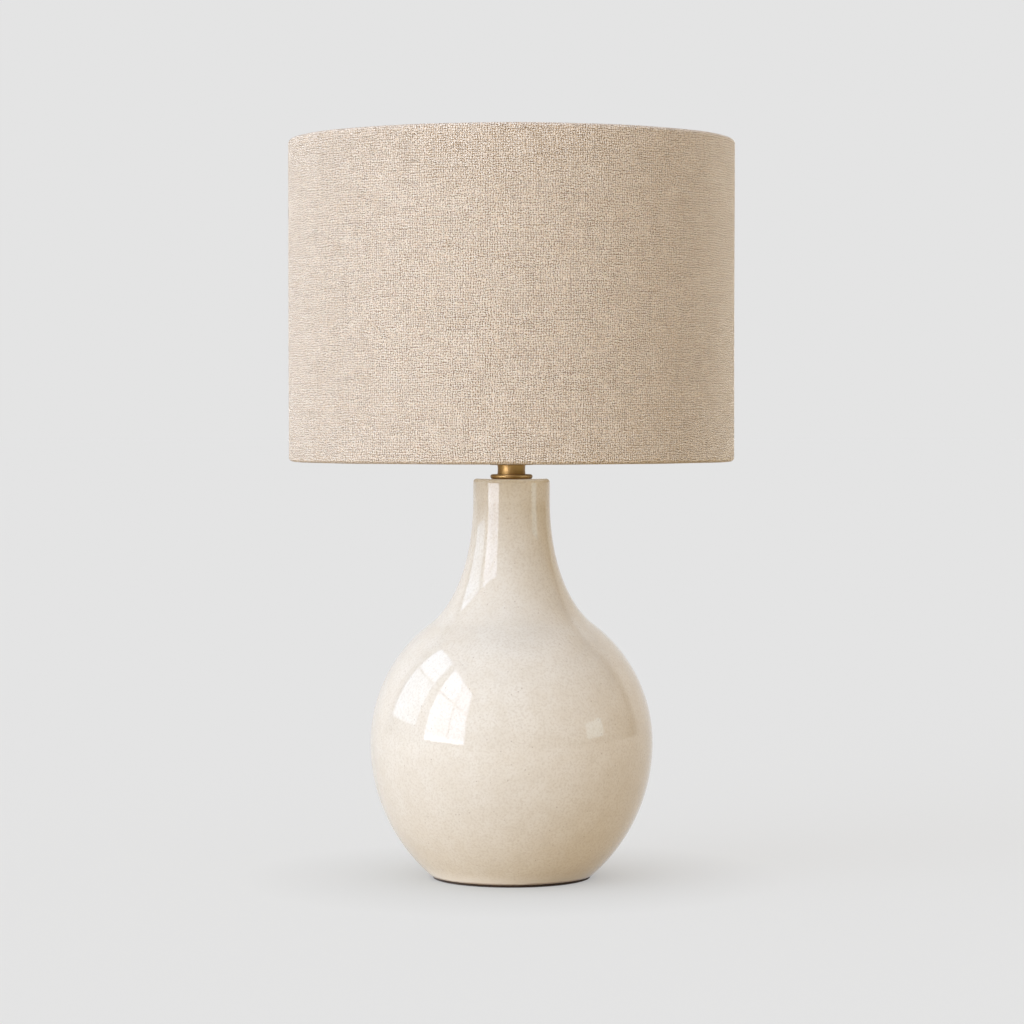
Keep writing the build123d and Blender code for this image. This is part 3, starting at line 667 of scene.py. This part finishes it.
def light_panel(name, sides, glow):
    """Rectangle of light with the given sides and glow, which the camera doesn't see."""
    light = bpy.data.lights.new(name, "AREA")
    light.shape = "RECTANGLE"
    light.size, light.size_y = sides
    light.energy = max(glow) * math.pi * sides[0] * sides[1]
    light.color = [part / max(glow) for part in glow]
    panel = bpy.data.objects.new(name, light)
    panel.visible_camera = False
    bpy.context.scene.collection.objects.link(panel)
    return panel


def pane(name, wall, span, bottom, top, glow):
    """Bright upright pane on the plane x = wall, which shows in what shines but lights nothing."""
    panel = light_panel(name, (top - bottom, span[1] - span[0]), glow)
    panel.location = (wall, (span[0] + span[1]) / 2, (bottom + top) / 2)
    panel.rotation_euler = (0, math.radians(90 if wall > 0 else -90), 0)
    panel.visible_diffuse = False


def window(name, span, sill, columns, glows):
    """One half of the window, cut by glazing bars into columns and into rows with a glow each."""
    width = (span[1] - span[0] + GLAZING_BAR) / columns
    height = (WINDOW_TOP - sill + GLAZING_BAR) / len(glows)
    for column in range(columns):
        left = span[0] + column * width
        for row, glow in enumerate(glows):
            bottom = sill + row * height
            pane(f"{name}_{column}_{row}", WINDOW_WALL, (left, left + width - GLAZING_BAR),
                 bottom, bottom + height - GLAZING_BAR, glow)


def fill_light(name, fill, lit, mirrored=True, spread=math.pi):
    """Panel that lights only the given pieces, which alone shade it; mirrored shows it in their gloss."""
    panel = light_panel(name, fill.sides, fill.glow)
    panel.data.spread = spread
    panel.location = fill.place
    panel.rotation_euler = (Vector(fill.target) - Vector(fill.place)).to_track_quat("-Z", "Y").to_euler()
    panel.visible_glossy = mirrored
    pieces = bpy.data.collections.new(f"lit_by_{name}")
    for piece in lit:
        pieces.objects.link(piece)
    panel.light_linking.receiver_collection = pieces
    panel.light_linking.blocker_collection = pieces


def fill_lights(linen):
    """Light that the room throws back on the ceramic, the brass and the linen."""
    body = [nodes["ceramic_body"]]
    brass = [nodes[name] for name in ("check_ring", "brass_neck", "upper_ring")]
    ring = [nodes["check_ring"]]
    fill_light("body_fill", BODY_FILL, body, mirrored=False)
    fill_light("top_fill", TOP_FILL, body, mirrored=False)
    fill_light("foot_fill", FOOT_FILL, body, mirrored=False, spread=FOOT_SPREAD)
    fill_light("brass_fill", BRASS_FILL, brass)
    fill_light("ring_left_fill", RING_LEFT_FILL, ring)
    fill_light("ring_right_fill", RING_RIGHT_FILL, ring)
    fill_light("left_edge_fill", LEFT_EDGE_FILL, [linen], spread=EDGE_SPREAD)
    fill_light("right_edge_fill", RIGHT_EDGE_FILL, [linen], spread=EDGE_SPREAD)
    fill_light("linen_fill", LINEN_FILL, [linen])
    fill_light("back_fill", BACK_FILL, [linen] + body, mirrored=False)


def key_axis():
    """Direction in which the key light stands."""
    level = math.cos(KEY_HEIGHT)
    return Vector((level * math.sin(KEY_AZIMUTH), -level * math.cos(KEY_AZIMUTH), math.sin(KEY_HEIGHT)))


def world():
    """Soft light from above and from the left front; camera and mirrors see the pale backdrop instead."""
    black = (0.0, 0.0, 0.0)
    g = Graph(bpy.data.worlds.new("studio"), "Background")
    bpy.context.scene.world = g.owner
    direction = g.add("ShaderNodeTexCoord", {}, output="Generated")
    upward = g.math("MULTIPLY_ADD", g.split(direction)[2], 0.5, 0.5)
    sky = g.mix(upward, SKY_BOTTOM, SKY_TOP)
    lean = g.add("ShaderNodeVectorMath", {0: direction, 1: key_axis()}, output="Value",
                 operation="DOT_PRODUCT")
    key = g.math("POWER", g.math("MAXIMUM", lean, 0.0), KEY_POWER)
    light = g.mix(key, sky, KEY, blend="ADD")
    depth = g.split(direction)[1]
    behind = g.remap(depth, *BACKDROP_EDGE, to_low=DIM_ROOM, to_high=1.0)
    from_post = g.math("ABSOLUTE", g.math("SUBTRACT", depth, POST_PLACE))
    behind = g.math("MULTIPLY", behind, g.remap(from_post, POST_HALF, 2 * POST_HALF))
    path = g.tree.nodes.new("ShaderNodeLightPath").outputs
    share = g.math("MAXIMUM", behind, path["Is Camera Ray"])
    shown = g.mix(share, black, [BACKDROP] * 3)
    g.finish(Color=g.mix(g.seen(), light, shown))


def light_on_floor():
    """Light that the open floor gets, where an even white sky would give 1."""
    heights = (np.arange(SKY_STEPS) + 0.5) / SKY_STEPS
    turns = (np.arange(2 * SKY_STEPS) + 0.5) * math.pi / SKY_STEPS
    height, turn = np.meshgrid(heights, turns)
    level = np.sqrt(1 - height ** 2)
    lean = np.stack([level * np.cos(turn), level * np.sin(turn), height], -1) @ np.array(key_axis())
    key = np.clip(lean, 0, None) ** KEY_POWER
    total = []
    for low, high, glow in zip(SKY_BOTTOM, SKY_TOP, KEY):
        sky = low + (high - low) * (1 + height) / 2 + glow * key
        total.append(float((2 * sky * height).mean()))
    return total


def floor():
    """Pale floor, which shows as the backdrop's grey with the lamp's soft shadow on it."""
    white = (1.0, 1.0, 1.0, 1.0)
    g = new_material("pale_floor")
    shaded = [BACKDROP * SHADOW_SHARE / light for light in light_on_floor()]
    matt = g.add("ShaderNodeBsdfDiffuse", {"Color": (*shaded, 1.0)})
    # painted contact shadow: the floor's glow darkens where the lamp is near
    open_share = g.add("ShaderNodeAmbientOcclusion", {"Distance": CONTACT_REACH}, output="AO",
                       samples=CONTACT_SAMPLES)
    rest = BACKDROP * (1 - SHADOW_SHARE)
    level = g.math("MULTIPLY_ADD", open_share, rest * CONTACT_SHARE, rest * (1 - CONTACT_SHARE))
    glow = g.add("ShaderNodeEmission", {"Color": white, "Strength": level})
    pale = g.add("ShaderNodeAddShader", {0: matt, 1: glow})
    bounce = g.add("ShaderNodeBsdfDiffuse", {"Color": (*FLOOR_BOUNCE, 1.0)})
    surface = g.add("ShaderNodeMixShader", {0: g.seen(), 1: bounce, 2: pale})
    g.put(g.tree.nodes["Material Output"], {"Surface": surface})
    mesh = bmesh.new()
    bmesh.ops.create_grid(mesh, x_segments=2, y_segments=2, size=FLOOR_REACH)
    ground = mesh_object("floor", mesh, g.owner)


def camera():
    """The photograph's camera, in front of the lamp and tilted slightly down."""
    eye = bpy.data.cameras.new("camera")
    eye.sensor_width = SENSOR_MM
    eye.lens = SENSOR_MM * FOCAL_PIXELS / PHOTO_SIDE
    view = bpy.data.objects.new("camera", eye)
    view.location = CAMERA_PLACE
    view.rotation_euler = (math.pi / 2 - CAMERA_PITCH, 0, 0)
    bpy.context.scene.collection.objects.link(view)
    bpy.context.scene.camera = view


dress_solids()
linen = shade_linen()
felt_pad()
bulb_cap()
world()
floor()
window("near_pane", NEAR_SPAN, NEAR_BOTTOM, NEAR_COLUMNS, NEAR_GLOW)
pane("sill_pane", WINDOW_WALL, NEAR_SPAN, SILL, NEAR_BOTTOM, SILL_GLOW)
window("far_pane", FAR_SPAN, FAR_BOTTOM, FAR_COLUMNS, FAR_GLOW)
fill_lights(linen)
pane("side_pane", SIDE_WALL, SIDE_SPAN, SIDE_BOTTOM, SIDE_TOP, SIDE_GLOW)
camera()
bpy.context.scene.view_settings.view_transform = "Standard"
